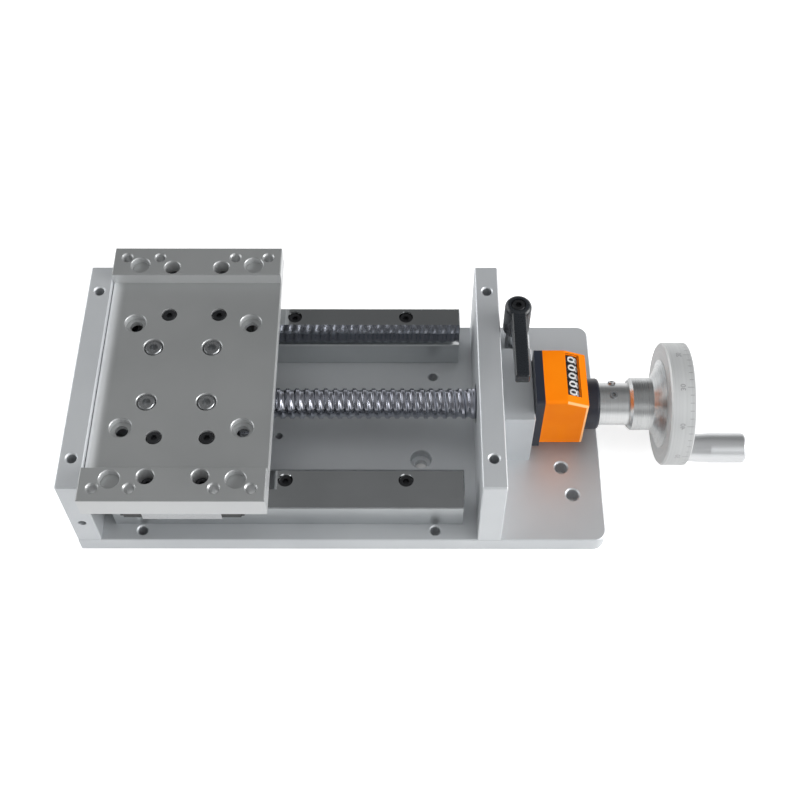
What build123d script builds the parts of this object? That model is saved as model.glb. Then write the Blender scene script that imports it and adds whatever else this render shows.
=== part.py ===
from build123d import *
from collections import namedtuple
from math import atan2, cos, degrees, radians, sin, sqrt
import os

# A hand-driven positioning table: a plate on two profile rails, moved by a ball screw with a
# handwheel, a position indicator and a clamp that locks the shaft. Sizes are in millimetres.
# X runs along the screw towards the handwheel, Y to the rear and Z up. The origin is the centre
# of the base plate's underside, and the table stands at the left end of its travel.

# Base plate
BASE_WIDTH = 135.0
BASE_THICK = 10.0
PAD_LENGTH = 54.0
BASE_CORNER = 6.0
EDGE = 0.5
LEDGE_HOLE_PITCH = 150.0
LEDGE_HOLE_EDGE = 5.5
BASE_BOLT_Y = 19.6
BASE_BOLT_INSET = 7.0
SPARE_TAP_Y = 33.4
PAD_HOLES = [(33.5, 24.7), (38.4, 41.0)]
PAD_HOLE_DIAMETER = 6.6
PAD_HOLE_BEVEL = 0.7
OIL_HOLE_X = -8.3
OIL_HOLE_Y = -5.3
OIL_HOLE_DIAMETER = 4.0

# End plates
PLATE_THICK = 12.0
PLATE_HEIGHT = 54.0
PLATE_CORNER = 0.8
COVER_TAP_Y = 51.0
COVER_TAP_DEPTH = 14.0
SIDE_TAP_Z = 28.3
SIDE_TAP_DIAMETER = 4.2
SIDE_TAP_DEPTH = 10.0

# Rails and the bars under them
RAIL_SPACING = 101.0
RISER_WIDTH = 16.0
RISER_HEIGHT = 17.0
RAIL_WIDTH = 15.0
RAIL_HEIGHT = 15.0
RAIL_LENGTH = 178.0
RAIL_GAP = 6.5
RAIL_END_GAP = 7.5
RAIL_HOLE_PITCH = 60.0
RAIL_HOLE_MARGIN = 29.0
RAIL_BOLT_SINK = 7.5
RAIL_BOLT_DEPTH = 5.3
RAIL_TOP_WIDTH = 10.5
RAIL_WAIST = 11.4
RAIL_FOOT_HEIGHT = 5.4
RAIL_HEAD_HEIGHT = 9.3
GROOVE_HEIGHT = 11.7
GROOVE_DEPTH = 0.75
RISER_BOLT_REACH = 10.2
RISER_BOLT_SHARES = (-1.3, -0.5, 0.5, 1.3)

# Guide blocks
BLOCK_WIDTH = 34.0
BLOCK_STEEL_LENGTH = 39.4
BLOCK_CAP_LENGTH = 9.4
BLOCK_WIPER = 1.6
GUIDE_HEIGHT = 28.0
BLOCK_LIFT = 4.3
BLOCK_CHAMFER = 1.5
CAP_DROP = 1.2
RAIL_CLEARANCE = 0.3
BLOCK_BOLT_PITCH = 26.0

# Table plate
TABLE_LENGTH = 89.0
TABLE_WIDTH = 153.6
TABLE_THICK = 13.4
TABLE_GAP = 0.3
STRIP_WIDTH = 18.3
RECESS_DEPTH = 7.1
TAP_OUTER_PITCH = 75.0
TAP_INNER_PITCH = 40.0
TAP_EDGE = 6.8
DOWEL_PITCH = 60.0
DOWEL_EDGE = 11.8
DOWEL_DIAMETER = 9.8
DOWEL_DEPTH = 4.0
DOWEL_BEVEL = 0.4
LINK_ROW = 64.0
LINK_SINK_DEPTH = 3.5

# Ball screw, nut and nut bracket
SCREW_Z = 34.0
SCREW_DIAMETER = 16.0
NUT_DIAMETER = 28.0
NUT_BODY_LENGTH = 35.0
NUT_FLANGE = 48.0
NUT_FLANGE_THICK = 10.0
NUT_FLATS = 40.0
NUT_BOLT_CIRCLE = 38.0
NUT_BOLT_TURNS = (65, 115, 245, 295)
NUT_WIPER = 2.0
BRACKET_LENGTH = 40.0
BRACKET_WIDTH = 52.0
BRACKET_OFFSET = -4.0
BRACKET_BOLT_X = 30.0
BRACKET_BOLT_Y = 33.4

# Screw bearings
LEFT_BORE = 10.0
LEFT_RING = 26.0
RIGHT_BORE = 12.0
RIGHT_RING = 28.0
BEARING_WIDTH = 8.0
RING_WALL = 2.4
BEARING_LIP = 2.0
LOCK_NUT_DIAMETER = 20.0
LOCK_NUT_LENGTH = 8.0
LOCK_NUT_SLOT = 3.0
SHAFT_SHOULDER = 1.0
SHOULDER_SHARE = 0.7

# Shaft clamp
CLAMP_THICK = 17.0
CLAMP_FRONT = 20.0
CLAMP_REAR = 24.0
CLAMP_HEIGHT = 40.0
EAR_DEPTH = 14.0
EAR_DROP = 6.0
CLAMP_SLOT = 2.0
CLAMP_BOLT_Y = 15.0

# Clamp lever
LEVER_Y = 30.0
LEVER_HUB = 13.6
LEVER_HUB_HEIGHT = 20.0
LEVER_LENGTH = 44.0
LEVER_ARM_WIDTH = 7.2
LEVER_ROOT_HEIGHT = 10.0
LEVER_TIP_HEIGHT = 6.0
LEVER_COLLAR = 10.0
LEVER_COLLAR_HEIGHT = 16.0
LEVER_NECK = 8.4
LEVER_NECK_HEIGHT = 7.0
LEVER_WEB = 2.6
LEVER_DOME = 2.6
LEVER_STUD_REACH = 14.0
LEVER_SCREW_REACH = 6.0
LEVER_SPRING_HEIGHT = 6.0
LEVER_SPRING_WIRE = 0.5
LEVER_SPRING_TURNS = 4.0

# Position indicator
INDICATOR_WIDTH = 33.0
INDICATOR_FOOT = 4.3
INDICATOR_DEPTH = 22.3
INDICATOR_TOP = 26.0
FOOT_DROP = 19.8
HOUSING_DROP = 16.0
HOUSING_WALL = 1.8
HOUSING_CHAMFER = 4.5
HOUSING_ROUND = 1.5
DISPLAY_LENGTH = 11.0
DISPLAY_FALL = 4.2
WINDOW_LENGTH = 25.8
WINDOW_WIDTH = 7.9
WINDOW_SHIFT_Y = 1.6
WINDOW_MARGIN = 0.2
WINDOW_THICK = 0.8
WINDOW_SET_BACK = 0.1
WINDOW_LEDGE = 0.5
WHEEL_COUNT = 5
WHEEL_DIAMETER = 11.4
WHEEL_PITCH = 5.0
WHEEL_THICK = 4.5
WHEEL_AXLE = 2.0
WHEEL_SINK = 1.2
INPUT_TUBE_WALL = 0.6
COLLAR_DIAMETER = 26.6
COLLAR_LENGTH = 7.3
COLLAR_ROUND = 1.5
FOOT_BOLT_Y = 12.5
FOOT_BOLT_DROP = 14.0
FOOT_PIN_DIAMETER = 3.0
FOOT_PIN_DROP = 16.0
FOOT_PIN_REACH = 4.0

# Shaft sleeve, handwheel and crank grip
SLEEVE_DIAMETER = 22.0
SLEEVE_START = 8.0
SLEEVE_END = 66.9
GRUB_FROM_END = 8.3
GRUB_LEAN = 9.0
GRUB_ANGLE = 50.0
GRUB_DIAMETER = 4.0
WHEEL_RADIUS = 32.0
HUB_DIAMETER = 27.4
HUB_LENGTH = 12.1
HUB_CHAMFER = 1.5
BELL_RADIUS = 23.0
BELL_LENGTH = 4.6
BELL_CURVE = 0.3
RIM_WIDTH = 12.5
RIM_CHAMFER = 0.8
RIM_STEP = 0.4
CENTRE_RECESS = 13.0
CENTRE_RECESS_DEPTH = 6.5
WASHER_DIAMETER = 19.5
WASHER_THICK = 1.2
CRANK_RADIUS = 23.0
CRANK_ANGLE = 213.1
GRIP_DIAMETER = 15.6
GRIP_NECK = 13.8
GRIP_NECK_LENGTH = 12.5
GRIP_LENGTH = 31.0
GRIP_GAP = 0.5
GRIP_AXLE = 6.0
GRIP_ROUND = 1.5
GRIP_AXLE_REACH = 9.2
GRIP_AXLE_SLOT = 1.4

# Fits: a slip fit between fixed pieces, and running clearances on each radius
SLIP = 0.02
RUNNING = 0.08
LOOSE = 0.3

# Hexagon socket screws: thread, head diameter, head height, counterbore, key width
Size = namedtuple("Size", "thread head height sink socket")
M3 = Size(3.0, 5.5, 3.0, 6.5, 2.5)
M4 = Size(4.0, 7.0, 4.0, 8.2, 3.0)
M5 = Size(5.0, 8.5, 5.0, 10.0, 4.0)
M6 = Size(6.0, 10.0, 6.0, 11.0, 5.0)
SCREW_PLAY = 0.5
SINK_BEVEL = 0.4
TAP_CORE = 5.0
TAP_MOUTH = 6.4
TAP_SPARE = 1.0
HEAD_SINK = 0.4
BOLT_REACH = 1.6

# Places along X
plate_span = RAIL_GAP + RAIL_LENGTH + RAIL_END_GAP
base_length = plate_span + 2 * PLATE_THICK + PAD_LENGTH
base_left = -base_length / 2
left_inner = base_left + PLATE_THICK
right_inner = left_inner + plate_span
right_outer = right_inner + PLATE_THICK
rail_left = left_inner + RAIL_GAP
rail_right = rail_left + RAIL_LENGTH
rail_holes = [rail_left + RAIL_HOLE_MARGIN + n * RAIL_HOLE_PITCH for n in range(3)]
rail_middle = (rail_left + rail_right) / 2
table_left = left_inner + TABLE_GAP
table_right = table_left + TABLE_LENGTH
table_x = (table_left + table_right) / 2
bracket_x = table_x + BRACKET_OFFSET
bracket_left = bracket_x - BRACKET_LENGTH / 2
bracket_right = bracket_x + BRACKET_LENGTH / 2
clamp_right = right_outer + CLAMP_THICK
foot_right = clamp_right + INDICATOR_FOOT
housing_right = foot_right + INDICATOR_DEPTH
sleeve_left = right_outer + SLEEVE_START
sleeve_right = right_outer + SLEEVE_END
clamp_x = right_outer + CLAMP_THICK / 2

# Heights
base_top = BASE_THICK
plate_top = base_top + PLATE_HEIGHT
riser_top = base_top + RISER_HEIGHT
rail_top = riser_top + RAIL_HEIGHT
block_bottom = riser_top + BLOCK_LIFT
block_top = riser_top + GUIDE_HEIGHT
table_bottom = block_top
table_top = table_bottom + TABLE_THICK
recess_floor = table_top - RECESS_DEPTH
block_seat = recess_floor - M4.height - HEAD_SINK
bracket_seat = recess_floor - M5.height - HEAD_SINK
bracket_bottom = SCREW_Z - NUT_FLATS / 2
clamp_top = base_top + CLAMP_HEIGHT
ear_top = clamp_top - EAR_DROP


def block(x_low, x_high, y_low, y_high, z_low, z_high):
    """Rectangular solid between two corners."""
    centre = Pos((x_low + x_high) / 2, (y_low + y_high) / 2, (z_low + z_high) / 2)
    return centre * Box(x_high - x_low, y_high - y_low, z_high - z_low)


def upright(diameter, z_low, z_high, x, y):
    """Cylinder along Z."""
    return Pos(x, y, (z_low + z_high) / 2) * Cylinder(diameter / 2, z_high - z_low)


def level(diameter, x_low, x_high, y=0.0, z=SCREW_Z):
    """Cylinder along X, on the screw's axis unless another line is named."""
    return Pos((x_low + x_high) / 2, y, z) * Rot(0, 90, 0) * Cylinder(diameter / 2, x_high - x_low)


def across(diameter, y_low, y_high, x, z):
    """Cylinder along Y."""
    return Pos(x, (y_low + y_high) / 2, z) * Rot(90, 0, 0) * Cylinder(diameter / 2, y_high - y_low)


def turned(outline, y=0.0, z=SCREW_Z):
    """Turned piece about a line along X, from (x, radius) points."""
    return Pos(0, y, z) * revolve(make_face(Polyline(*outline, close=True)), Axis.X)


def turned_upright(outline, x, y):
    """Turned piece about a line along Z, from (radius, z) points."""
    face = Plane.XZ * make_face(Polyline(*outline, close=True))
    return Pos(x, y, 0) * revolve(face, Axis.Z)


def socket_screw(size, length, socket=True):
    """Cap screw with its head's seat at the origin and its thread down along -Z."""
    bevel = size.height / 10
    screw = turned_upright(
        [
            (0, -length),
            (size.thread / 2, -length),
            (size.thread / 2, 0),
            (size.head / 2, 0),
            (size.head / 2, size.height - bevel),
            (size.head / 2 - bevel, size.height),
            (0, size.height),
        ],
        0,
        0,
    )
    if not socket:
        return screw
    key = extrude(RegularPolygon(size.socket / 2, 6, major_radius=False), size.height / 2)
    return screw - Pos(0, 0, size.height / 2) * key


def mouth(diameter, top, bevel, x, y):
    """Bevel around the top of an upright hole."""
    radius = diameter / 2
    return turned_upright([(0, top - bevel), (radius, top - bevel), (radius + bevel, top), (0, top)], x, y)


def bevelled_hole(diameter, low, top, bevel, x, y):
    """Plain upright hole with a bevelled mouth at the top."""
    return upright(diameter, low, top, x, y) + mouth(diameter, top, bevel, x, y)


def sunk_hole(size, low, seat, high, x, y):
    """Clearance hole from low up to seat, with a bevelled counterbore on to high."""
    hole = upright(size.thread + SCREW_PLAY, low, seat, x, y)
    return hole + bevelled_hole(size.sink, seat, high, SINK_BEVEL, x, y)


def hole_from_below(size, seat, high, x, y):
    """Clearance hole from seat up to high, with a counterbore below it in the base."""
    return upright(size.thread + SCREW_PLAY, seat, high, x, y) + upright(size.sink, 0, seat, x, y)


def tapped_hole(z_top, depth, x, y):
    """Tapped hole at its core diameter, with a bevelled mouth."""
    bevel = (TAP_MOUTH - TAP_CORE) / 2
    return turned_upright(
        [
            (0, z_top - depth),
            (TAP_CORE / 2, z_top - depth),
            (TAP_CORE / 2, z_top - bevel),
            (TAP_MOUTH / 2, z_top),
            (0, z_top),
        ],
        x,
        y,
    )


def cut(solid, tools):
    """One solid less many."""
    return solid - list(tools)


def save(name, *solids):
    """Write one node, which may hold several separate solids."""
    pieces = [piece for solid in solids for piece in solid.solids()]
    whole = pieces[0] if len(pieces) == 1 else Compound(children=pieces)
    export_step(whole, f"parts/{name}.step")


os.makedirs("parts", exist_ok=True)

# Places of the screws that come up through the base plate
low_seat = M5.height + HEAD_SINK
plate_seat = M6.height + HEAD_SINK
riser_bolts = [
    (x, side * RAIL_SPACING / 2)
    for side in (-1, 1)
    for x in (rail_middle + share * RAIL_HOLE_PITCH for share in RISER_BOLT_SHARES)
]
plate_bolt_y = RAIL_SPACING / 2 - RISER_WIDTH
plate_bolts = [
    (x, y)
    for x in (base_left + PLATE_THICK / 2, right_inner + PLATE_THICK / 2)
    for y in (-plate_bolt_y, plate_bolt_y)
]
clamp_bolts = [(clamp_x, -CLAMP_BOLT_Y), (clamp_x, CLAMP_BOLT_Y)]
plate_bolt_reach = M6.thread * 2
clamp_bolt_reach = M5.thread * BOLT_REACH

# Base plate: rounded corners at the handwheel end, bright bevelled top edges, holes from above
# and counterbores from below
outline = extrude(Rectangle(base_length, BASE_WIDTH), BASE_THICK)
outline = fillet(outline.edges().filter_by(Axis.Z).group_by(Axis.X)[-1], BASE_CORNER)
outline = chamfer(outline.faces().sort_by(Axis.Z)[-1].edges(), EDGE)
ledge_y = BASE_WIDTH / 2 - LEDGE_HOLE_EDGE
cuts = []
for side in (-1, 1):
    for step in (-0.5, 0.5):
        x = rail_middle + step * LEDGE_HOLE_PITCH
        cuts.append(tapped_hole(base_top, BASE_THICK, x, side * ledge_y))
        bolt_x = x - 2 * step * BASE_BOLT_INSET
        cuts.append(sunk_hole(M6, 0, base_top - M6.height, base_top, bolt_x, side * BASE_BOLT_Y))
        cuts.append(tapped_hole(base_top, BASE_THICK, x, side * SPARE_TAP_Y))
    for from_plate, y in PAD_HOLES:
        x = right_outer + from_plate
        cuts.append(bevelled_hole(PAD_HOLE_DIAMETER, 0, base_top, PAD_HOLE_BEVEL, x, side * y))
cuts.append(upright(OIL_HOLE_DIAMETER, 0, base_top, rail_middle + OIL_HOLE_X, OIL_HOLE_Y))
for x, y in riser_bolts:
    cuts.append(hole_from_below(M5, low_seat, base_top, x, y))
for x, y in plate_bolts:
    cuts.append(hole_from_below(M6, plate_seat, base_top, x, y))
for x, y in clamp_bolts:
    cuts.append(hole_from_below(M5, low_seat, base_top, x, y))
save("base_plate", cut(outline, cuts))

# Bars under the rails, tapped for both rows of screws
rail_bolt_reach = M4.thread * 2
rail_bolt_seat = rail_top - RAIL_BOLT_DEPTH
for name, side in (("front", -1), ("rear", 1)):
    y = side * RAIL_SPACING / 2
    bar = block(rail_left, rail_right, y - RISER_WIDTH / 2, y + RISER_WIDTH / 2, base_top, riser_top)
    bar = chamfer(bar.edges().filter_by(Axis.X), EDGE)
    holes = [
        upright(M4.thread + 2 * SLIP, riser_top - rail_bolt_reach - TAP_SPARE, riser_top, x, y)
        for x in rail_holes
    ]
    holes += [
        upright(M5.thread + 2 * SLIP, base_top, base_top + RISER_BOLT_REACH, x, bolt_y)
        for x, bolt_y in riser_bolts
        if bolt_y == y
    ]
    save(f"rail_riser_{name}", cut(bar, holes))

# Profile rails: a foot, a waist and a head with a ball groove along each flank
waist_step = (RAIL_WIDTH - RAIL_WAIST) / 2
half_rail = [
    (RAIL_WIDTH / 2, 0),
    (RAIL_WIDTH / 2, RAIL_FOOT_HEIGHT),
    (RAIL_WAIST / 2, RAIL_FOOT_HEIGHT + waist_step),
    (RAIL_WAIST / 2, RAIL_HEAD_HEIGHT),
    (RAIL_WIDTH / 2, RAIL_HEAD_HEIGHT + waist_step / 2),
    (RAIL_WIDTH / 2 - GROOVE_DEPTH, GROOVE_HEIGHT),
    (RAIL_WIDTH / 2, GROOVE_HEIGHT + GROOVE_DEPTH),
    (RAIL_TOP_WIDTH / 2, RAIL_HEIGHT),
]
rail_outline = half_rail + [(-y, z) for y, z in reversed(half_rail)]
rail_section = Plane.YZ * make_face(Polyline(*rail_outline, close=True))
for name, side in (("front", -1), ("rear", 1)):
    y = side * RAIL_SPACING / 2
    rail = Pos(rail_left, y, riser_top) * extrude(rail_section, RAIL_LENGTH)
    rail = chamfer(rail.faces().sort_by(Axis.Z)[-1].edges().filter_by(Axis.Y), EDGE)
    holes = []
    for x in rail_holes:
        holes.append(upright(M4.thread + SCREW_PLAY, riser_top, rail_bolt_seat, x, y))
        holes.append(upright(RAIL_BOLT_SINK, rail_bolt_seat, rail_top, x, y))
    save(f"guide_rail_{name}", cut(rail, holes))

rail_bolt_length = rail_bolt_seat - riser_top + rail_bolt_reach
save(
    "rail_screws",
    *[
        Pos(x, side * RAIL_SPACING / 2, rail_bolt_seat) * socket_screw(M4, rail_bolt_length)
        for side in (-1, 1)
        for x in rail_holes
    ],
)

# Screws up through the base plate into the bars and end plates
upside_down = Rot(180, 0, 0)
riser_screw = upside_down * socket_screw(M5, base_top - low_seat + RISER_BOLT_REACH)
plate_screw = upside_down * socket_screw(M6, base_top - plate_seat + plate_bolt_reach)
clamp_screw = upside_down * socket_screw(M5, base_top - low_seat + clamp_bolt_reach)
save("riser_screws", *[Pos(x, y, low_seat) * riser_screw for x, y in riser_bolts])
save("end_plate_screws", *[Pos(x, y, plate_seat) * plate_screw for x, y in plate_bolts])
save("clamp_block_screws", *[Pos(x, y, low_seat) * clamp_screw for x, y in clamp_bolts])


def end_plate(x_low, x_high, side_taps):
    """Upright plate with bevelled edges, two tapped holes for a cover and, if asked, two side holes."""
    half = BASE_WIDTH / 2
    plate = block(x_low, x_high, -half, half, base_top, plate_top)
    plate = chamfer(plate.edges().filter_by(Axis.X).group_by(Axis.Z)[-1], PLATE_CORNER)
    plate = chamfer(plate.faces().filter_by(Axis.X).edges(), EDGE)
    middle = (x_low + x_high) / 2
    holes = [tapped_hole(plate_top, COVER_TAP_DEPTH, middle, side * COVER_TAP_Y) for side in (-1, 1)]
    holes += [
        upright(M6.thread + 2 * SLIP, base_top, base_top + plate_bolt_reach, x, y)
        for x, y in plate_bolts
        if x_low < x < x_high
    ]
    if side_taps:
        deep = half - SIDE_TAP_DEPTH
        holes.append(across(SIDE_TAP_DIAMETER, deep, half, middle, SIDE_TAP_Z))
        holes.append(across(SIDE_TAP_DIAMETER, -half, -deep, middle, SIDE_TAP_Z))
    return cut(plate, holes)


# Screw bearings: pressed into the end plates, the right one held by a ring
left_pocket = left_inner - BEARING_WIDTH
right_shoulder = right_inner + BEARING_LIP
retainer_left = right_shoulder + BEARING_WIDTH
lip_opening = SCREW_DIAMETER + 2 * RING_WALL
left_plate = end_plate(base_left, left_inner, side_taps=True)
save("end_plate_left", left_plate - level(LEFT_RING, left_pocket, left_inner))
right_plate = cut(
    end_plate(right_inner, right_outer, side_taps=False),
    [level(lip_opening, right_inner, right_shoulder), level(RIGHT_RING, right_shoulder, right_outer)],
)
save("end_plate_right", right_plate)


def bearing(x_low, bore, ring):
    """Inner ring, and an outer ring with a shield at each side that clears the inner ring."""
    x_high = x_low + BEARING_WIDTH
    shield = BEARING_WIDTH / 8
    inner_high = bore + 2 * RING_WALL
    outer_low = ring - 2 * RING_WALL
    inner = level(inner_high, x_low, x_high) - level(bore + 2 * SLIP, x_low, x_high)
    outer = level(ring - 2 * SLIP, x_low, x_high) - level(outer_low, x_low + shield, x_high - shield)
    outer = outer - level(inner_high + 2 * RUNNING, x_low, x_high)
    return inner, outer


left_inner_ring, left_outer_ring = bearing(left_pocket, LEFT_BORE, LEFT_RING)
right_inner_ring, right_outer_ring = bearing(right_shoulder, RIGHT_BORE, RIGHT_RING)
save("left_bearing_inner_ring", left_inner_ring)
save("left_bearing_outer_ring", left_outer_ring)
save("right_bearing_inner_ring", right_inner_ring)
save("right_bearing_outer_ring", right_outer_ring)
retainer = level(RIGHT_RING - 2 * SLIP, retainer_left, right_outer)
save("bearing_retainer", retainer - level(LOCK_NUT_DIAMETER + 2 * LOOSE, retainer_left, right_outer))

# Lock nut with four spanner slots, tightened against the inner ring
lock_nut = level(LOCK_NUT_DIAMETER, retainer_left, retainer_left + LOCK_NUT_LENGTH)
lock_nut = lock_nut - level(RIGHT_BORE + 2 * SLIP, retainer_left, retainer_left + LOCK_NUT_LENGTH)
slot_length = LOCK_NUT_LENGTH / 2
slot = Box(slot_length, LOCK_NUT_SLOT, LOCK_NUT_SLOT)
slot_x = retainer_left + LOCK_NUT_LENGTH - slot_length / 2
for turn in range(4):
    reach = Rot(turn * 90, 0, 0) * Pos(0, 0, LOCK_NUT_DIAMETER / 2)
    lock_nut = lock_nut - Pos(slot_x, 0, SCREW_Z) * reach * slot
save("lock_nut", lock_nut)

# Guide blocks: a steel body, dark end caps a little smaller, and a thin wiper at each end
steel_left = table_x - BLOCK_STEEL_LENGTH / 2
block_height = block_top - block_bottom


def channel_piece(x_low, x_high, drop, clearance, y):
    """Length of a guide block's section: a bevelled block with a channel that clears the rail."""
    low = BLOCK_LIFT + drop / 2
    high = BLOCK_LIFT + block_height - drop
    outer = Rectangle(BLOCK_WIDTH - drop, high - low)
    outer = Pos(0, (low + high) / 2) * chamfer(outer.vertices(), BLOCK_CHAMFER)
    rail_shape = make_face(Polyline(*rail_outline, close=True))
    opening = offset(rail_shape, clearance, kind=Kind.INTERSECTION)
    section = Plane.YZ * (outer - opening)
    return Pos(x_low, y, riser_top) * extrude(section, x_high - x_low)


block_bolts = [
    (table_x + dx * BLOCK_BOLT_PITCH / 2, side * RAIL_SPACING / 2 + dy * BLOCK_BOLT_PITCH / 2)
    for side in (-1, 1)
    for dx in (-1, 1)
    for dy in (-1, 1)
]
block_bolt_reach = M4.thread * BOLT_REACH
block_tap_low = block_top - block_bolt_reach - TAP_SPARE
for name, side in (("front", -1), ("rear", 1)):
    y = side * RAIL_SPACING / 2
    body = channel_piece(steel_left, steel_left + BLOCK_STEEL_LENGTH, 0.0, RAIL_CLEARANCE, y)
    holes = [
        upright(M4.thread + 2 * SLIP, block_tap_low, block_top, bolt_x, bolt_y)
        for bolt_x, bolt_y in block_bolts
        if bolt_y * side > 0
    ]
    save(f"guide_block_{name}", cut(body, holes))
    caps = []
    wipers = []
    for edge, way in ((steel_left, -1), (steel_left + BLOCK_STEEL_LENGTH, 1)):
        ends = sorted((edge, edge + way * BLOCK_CAP_LENGTH))
        caps.append(channel_piece(ends[0], ends[1], CAP_DROP, RAIL_CLEARANCE, y))
        far = edge + way * BLOCK_CAP_LENGTH
        ends = sorted((far, far + way * BLOCK_WIPER))
        wipers.append(channel_piece(ends[0], ends[1], 2 * CAP_DROP, RAIL_CLEARANCE, y))
    save(f"block_end_caps_{name}", *caps)
    save(f"block_wipers_{name}", *wipers)

# Table plate: strips along the front and rear with a channel between for the cover
table_edge = TABLE_WIDTH / 2
recess_edge = table_edge - STRIP_WIDTH
plate = block(table_left, table_right, -table_edge, table_edge, table_bottom, table_top)
recess = block(table_left, table_right, -recess_edge, recess_edge, recess_floor, table_top)
plate = plate - recess
floor_face = plate.faces().filter_by(Axis.Z).sort_by(lambda face: abs(face.center().Z - recess_floor))[0]
plate = chamfer(floor_face.edges().filter_by(Axis.Y), EDGE)
strip_faces = plate.faces().filter_by(Axis.Z).group_by(Axis.Z)[-1]
plate = chamfer(strip_faces.edges(), EDGE)
plate = chamfer(plate.faces().filter_by(Axis.Z).group_by(Axis.Z)[0].edges(), EDGE)
bracket_bolts = [
    (bracket_x + dx * BRACKET_BOLT_X / 2, dy * BRACKET_BOLT_Y / 2) for dx in (-1, 1) for dy in (-1, 1)
]
cuts = []
for side in (-1, 1):
    for pitch in (TAP_OUTER_PITCH, TAP_INNER_PITCH):
        for step in (-0.5, 0.5):
            x = table_x + step * pitch
            cuts.append(tapped_hole(table_top, TABLE_THICK, x, side * (table_edge - TAP_EDGE)))
    for step in (-0.5, 0.5):
        x = table_x + step * DOWEL_PITCH
        y = side * (table_edge - DOWEL_EDGE)
        cuts.append(bevelled_hole(DOWEL_DIAMETER, table_top - DOWEL_DEPTH, table_top, DOWEL_BEVEL, x, y))
        link_y = side * LINK_ROW / 2
        link_seat = recess_floor - LINK_SINK_DEPTH
        cuts.append(sunk_hole(M6, table_bottom, link_seat, recess_floor, x, link_y))
for x, y in block_bolts:
    cuts.append(sunk_hole(M4, table_bottom, block_seat, table_top, x, y))
for x, y in bracket_bolts:
    cuts.append(sunk_hole(M5, table_bottom, bracket_seat, recess_floor, x, y))
save("table_plate", cut(plate, cuts))

block_screw = socket_screw(M4, block_seat - block_top + block_bolt_reach)
save("block_screws", *[Pos(x, y, block_seat) * block_screw for x, y in block_bolts])
bracket_bolt_reach = M5.thread * BOLT_REACH
bracket_screw = socket_screw(M5, bracket_seat - table_bottom + bracket_bolt_reach)
save("bracket_screws", *[Pos(x, y, bracket_seat) * bracket_screw for x, y in bracket_bolts])

# Nut bracket: hangs from the table and holds the ball nut by its flange
nut_bolts = [
    (sin(radians(turn)) * NUT_BOLT_CIRCLE / 2, cos(radians(turn)) * NUT_BOLT_CIRCLE / 2)
    for turn in NUT_BOLT_TURNS
]
nut_bolt_reach = M5.thread * BOLT_REACH
bracket = block(
    bracket_left, bracket_right, -BRACKET_WIDTH / 2, BRACKET_WIDTH / 2, bracket_bottom, table_bottom
)
bracket = chamfer(bracket.edges().filter_by(Axis.Z), 2 * EDGE)
holes = [level(NUT_DIAMETER + 2 * SLIP, bracket_left, bracket_right)]
for x, y in bracket_bolts:
    low = table_bottom - bracket_bolt_reach - TAP_SPARE
    holes.append(upright(M5.thread + 2 * SLIP, low, table_bottom, x, y))
for y, z in nut_bolts:
    low = bracket_right - nut_bolt_reach - TAP_SPARE
    holes.append(level(M5.thread + 2 * SLIP, low, bracket_right, y, SCREW_Z + z))
save("nut_bracket", cut(bracket, holes))

# Ball nut with two flats on its flange and an end wiper groove
flange_right = bracket_right + NUT_FLANGE_THICK
nut_left = bracket_right - NUT_BODY_LENGTH
flange = level(NUT_FLANGE, bracket_right, flange_right)
flats_low = SCREW_Z - NUT_FLATS / 2
flats_high = SCREW_Z + NUT_FLATS / 2
flange = flange & block(bracket_right, flange_right, -NUT_FLANGE, NUT_FLANGE, flats_low, flats_high)
nut = flange + level(NUT_DIAMETER, nut_left, bracket_right)
nut_bore = SCREW_DIAMETER + 2 * RUNNING
holes = [level(nut_bore, nut_left, flange_right)]
for y, z in nut_bolts:
    holes.append(level(M5.thread + SCREW_PLAY, bracket_right, flange_right, y, SCREW_Z + z))
for edge in (nut_left, flange_right - NUT_WIPER / 2):
    holes.append(level(nut_bore + NUT_WIPER, edge, edge + NUT_WIPER / 2))
save("ball_nut", cut(nut, holes))
facing_right = Rot(0, 90, 0)
nut_screw = facing_right * socket_screw(M5, NUT_FLANGE_THICK + nut_bolt_reach)
save("nut_screws", *[Pos(flange_right, y, SCREW_Z + z) * nut_screw for y, z in nut_bolts])

# Ball screw: support journal at the left, long plain shaft at the right for the sleeve and wheel
wheel_left = sleeve_right
hub_right = wheel_left + HUB_LENGTH
bell_right = hub_right + BELL_LENGTH
rim_left = bell_right + RIM_STEP
rim_right = rim_left + RIM_WIDTH
recess_left = rim_right - CENTRE_RECESS_DEPTH
shaft_end = recess_left - LOOSE
screw_radius = SCREW_DIAMETER / 2
left_shoulder_radius = LEFT_BORE / 2 + RING_WALL * SHOULDER_SHARE
right_shoulder_radius = RIGHT_BORE / 2 + RING_WALL * SHOULDER_SHARE
screw = turned(
    [
        (left_pocket + LOOSE, 0),
        (left_pocket + LOOSE, LEFT_BORE / 2),
        (left_inner, LEFT_BORE / 2),
        (left_inner, left_shoulder_radius),
        (left_inner + SHAFT_SHOULDER, left_shoulder_radius),
        (left_inner + 2 * SHAFT_SHOULDER, screw_radius),
        (right_shoulder - 2 * SHAFT_SHOULDER, screw_radius),
        (right_shoulder - SHAFT_SHOULDER, right_shoulder_radius),
        (right_shoulder, right_shoulder_radius),
        (right_shoulder, RIGHT_BORE / 2),
        (shaft_end - EDGE, RIGHT_BORE / 2),
        (shaft_end, RIGHT_BORE / 2 - EDGE),
        (shaft_end, 0),
    ]
)
end_screw_reach = M5.thread * 2
end_tap = level(M5.thread + 2 * SLIP, shaft_end - end_screw_reach - TAP_SPARE, shaft_end)
save("ball_screw", screw - end_tap)

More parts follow.
